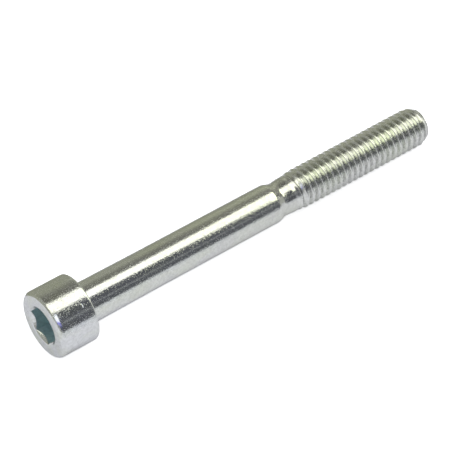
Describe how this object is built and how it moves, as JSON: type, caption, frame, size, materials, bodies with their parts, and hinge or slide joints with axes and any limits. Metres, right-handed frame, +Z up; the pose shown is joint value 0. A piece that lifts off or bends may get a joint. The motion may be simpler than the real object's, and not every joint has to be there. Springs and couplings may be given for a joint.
{
  "type": "socket head cap screw",
  "caption": "Cap screw with a smooth cylindrical head, hexagon socket, plain shank, slimmer neck and right-hand rolled thread, in bright zinc-plated steel.",
  "frame": {"origin": "centre of the flat bearing face under the head, on the screw's axis", "axes": "+X along the screw's axis from the head to the tip, +Z up as the screw lies on a flat surface, +Y completes the right-handed frame; the hexagon has a flat facing up and a flat facing down"},
  "size_m": [0.066, 0.01, 0.01],
  "materials": {
    "zinc_plated_steel": "bright zinc plating over cold-headed steel, with fine drawing marks along the shank"
  },
  "bodies": {
    "root": {"cap_screw": "zinc_plated_steel"}
  },
  "joints": []
}
